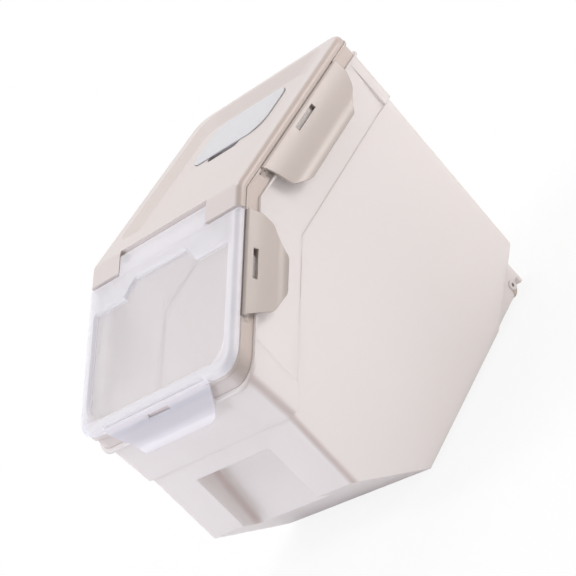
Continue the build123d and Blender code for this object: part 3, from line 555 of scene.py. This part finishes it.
# Crease line round the slanting side panel of the bin: fine beads on its wall, out and in.
# The panel's edge runs PANEL_DROP below the lid, and turns up at PANEL_FRONT to PANEL_HEAD.
# A bead's path is cast on the wall from OUTER_START or INNER_START, out from the middle, and
# what it meets nearer the middle than WALL_FROM isn't the wall.
PANEL_DROP = 0.071
PANEL_HEAD = 0.019
PANEL_FRONT = -0.10998
PANEL_REAR = 0.219
BEAD_STEPS = 12
BEAD_ROUNDING = 2
OUTER_BEAD = 0.0002
INNER_BEAD = 0.0007
OUTER_START = 0.2
INNER_START = 0.06
WALL_FROM = 0.09

bin_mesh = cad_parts["bin"].data
bin_tree = BVHTree.FromPolygons([vertex.co for vertex in bin_mesh.vertices],
                                [polygon.vertices for polygon in bin_mesh.polygons])


def slope_height(y, drop):
    """The height at y of a line that runs the drop below the slope, from the fold."""
    return (y * math.sin(SLOPE_TURN) - drop) / math.cos(SLOPE_TURN)


panel_edge = [
    (PANEL_REAR, -PANEL_DROP),
    (PANEL_DROP * math.tan(SLOPE_TURN / 2), -PANEL_DROP),
    (PANEL_FRONT, slope_height(PANEL_FRONT, PANEL_DROP)),
    (PANEL_FRONT, slope_height(PANEL_FRONT, PANEL_HEAD)),
]


def bead_path(sign, inside):
    """Points of the bin's wall along the panel's edge."""
    start_x = sign * (INNER_START if inside else OUTER_START)
    aim = Vector((sign if inside else -sign, 0, 0))
    spots = []
    for start, end in zip(panel_edge, panel_edge[1:]):
        for step in range(BEAD_STEPS):
            share = step / BEAD_STEPS
            y = start[0] + (end[0] - start[0]) * share + FOLD_Y
            z = start[1] + (end[1] - start[1]) * share + FOLD_Z
            hit = bin_tree.ray_cast(Vector((start_x, y, z)), aim)[0]
            if hit and abs(hit.x) > WALL_FROM:
                spots.append(hit)
    return spots


def add_bead(name, spots, radius):
    """A round bead along the spots, as a mesh."""
    curve = bpy.data.curves.new(name, "CURVE")
    curve.dimensions = "3D"
    curve.bevel_depth = radius
    curve.bevel_resolution = BEAD_ROUNDING
    line = curve.splines.new("POLY")
    line.points.add(len(spots) - 1)
    for place, spot in zip(line.points, spots):
        place.co = (*spot, 1)
    item = add_to_scene(bpy.data.objects.new(name, curve))
    mesh = bpy.data.meshes.new_from_object(item)
    bpy.data.objects.remove(item)
    mesh.materials.clear()
    mesh.materials.append(bin_shell)
    item = add_to_scene(bpy.data.objects.new(name, mesh))
    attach(item, "bin_body")


for side, sign in zip(SIDES, (-1, 1)):
    add_bead("panel_crease_" + side, bead_path(sign, False), OUTER_BEAD)
for side, sign in zip(SIDES, (-1, 1)):
    add_bead("inner_crease_" + side, bead_path(sign, True), INNER_BEAD)


# Stage: a pale floor that shows white to the camera, but keeps the shadow near the object
FLOOR_SIZE = 30
FLOOR_DROP = 0.0002
FLOOR_PATCH_SCALE = 3.0
FLOOR_DARK = (0.90, 0.90, 0.90, 1)
FLOOR_LIGHT = (0.93, 0.93, 0.93, 1)
SHADOW_REACH = (0.2, 0.75)
WHITE_NEAR = 0.86
WHITE_FAR = 1.0

# World: dim light on the object, but white where the camera, glass or gloss sees it
WORLD_LIGHT = (1.0, 0.98, 0.975, 1)
WORLD_STRENGTH = 0.46
WHITE = (1, 1, 1, 1)

# Lamps: name, place, height of the point that they aim at, watts and colour
LAMP_SIZE = 1.2
LAMPS = (
    ("warm", (2.1, 1.7, 0.55), 0.15, 34, (1.0, 0.95, 0.93)),
    ("cool", (-1.6, -2.2, 0.65), 0.15, 22, (0.8, 0.83, 1.0)),
    ("top", (-1.5, -0.95, 2.3), 0.2, 26, (0.97, 0.98, 1.0)),
    ("back", (-0.6, 1.2, 2.6), 0.2, 25, (0.97, 0.98, 1.0)),
)

# Camera: fitted to the photograph, in the frame of the part
CAMERA_PLACE = Vector((1.304955, -1.179555 + FOLD_Y, 0.387442 + FOLD_Z))
CAMERA_RIGHT = Vector((0.63559, 0.39351, -0.66422))
CAMERA_DOWN = Vector((-0.33164, -0.63776, -0.69518))
CAMERA_AHEAD = Vector((-0.69717, 0.66213, -0.27485))
SENSOR_WIDTH = 36
FOCAL_PIXELS = 1971.52
IMAGE_PIXELS = 576
CLIP = (0.05, 60)


def add_floor():
    material = bpy.data.materials.new("floor_white")
    graph = Graph(material)
    place = graph.add("TexCoord").outputs["Object"]
    patches = graph.noise(place, FLOOR_PATCH_SCALE)
    matt = graph.add("BsdfDiffuse")
    graph.feed(matt.inputs["Color"], graph.mix_colours(patches, FLOOR_DARK, FLOOR_LIGHT))
    away = graph.add("VectorMath", operation="LENGTH")
    graph.feed(away.inputs[0], place)
    white = graph.span(away.outputs["Value"], *SHADOW_REACH, WHITE_NEAR, WHITE_FAR, "SMOOTHSTEP")
    seen = graph.math("MULTIPLY", graph.add("LightPath").outputs["Is Camera Ray"], white)
    glow = graph.add("Emission")
    graph.finish(graph.mix_shaders(seen, matt.outputs[0], glow.outputs[0]))

    bpy.ops.mesh.primitive_plane_add(size=FLOOR_SIZE, location=(0, 0, -FLOOR_DROP))
    floor = bpy.context.object
    floor.name = "floor"
    floor.data.materials.append(material)


def add_world():
    world = bpy.data.worlds.new("studio")
    bpy.context.scene.world = world
    graph = Graph(world)
    rays = graph.add("LightPath").outputs
    seen = graph.math("MAXIMUM", rays["Is Camera Ray"], rays["Is Transmission Ray"])
    seen = graph.math("MAXIMUM", seen, rays["Is Glossy Ray"])
    lights = []
    for colour, strength in ((WORLD_LIGHT, WORLD_STRENGTH), (WHITE, 1.0)):
        node = graph.add("Background")
        node.inputs["Color"].default_value = colour
        node.inputs["Strength"].default_value = strength
        lights.append(node.outputs[0])
    graph.finish(graph.mix_shaders(seen, *lights), "OutputWorld")


def add_lamp(name, place, aim_height, watts, colour):
    light = bpy.data.lights.new(name, "AREA")
    light.shape = "DISK"
    light.size = LAMP_SIZE
    light.energy = watts
    light.color = colour
    item = add_to_scene(bpy.data.objects.new(name, light))
    item.location = place
    aim = Vector((0, 0, aim_height)) - Vector(place)
    item.rotation_euler = aim.to_track_quat("-Z", "Y").to_euler()


def add_camera():
    camera_data = bpy.data.cameras.new("camera")
    camera_data.sensor_width = SENSOR_WIDTH
    camera_data.lens = SENSOR_WIDTH * FOCAL_PIXELS / IMAGE_PIXELS
    camera_data.clip_start, camera_data.clip_end = CLIP
    camera = add_to_scene(bpy.data.objects.new("camera", camera_data))
    turn = Matrix((CAMERA_RIGHT, -CAMERA_DOWN, -CAMERA_AHEAD)).transposed()
    camera.matrix_world = Matrix.Translation(CAMERA_PLACE) @ turn.to_4x4()
    bpy.context.scene.camera = camera


add_floor()
add_world()
for lamp in LAMPS:
    add_lamp(*lamp)
add_camera()
bpy.context.scene.view_settings.view_transform = "Standard"
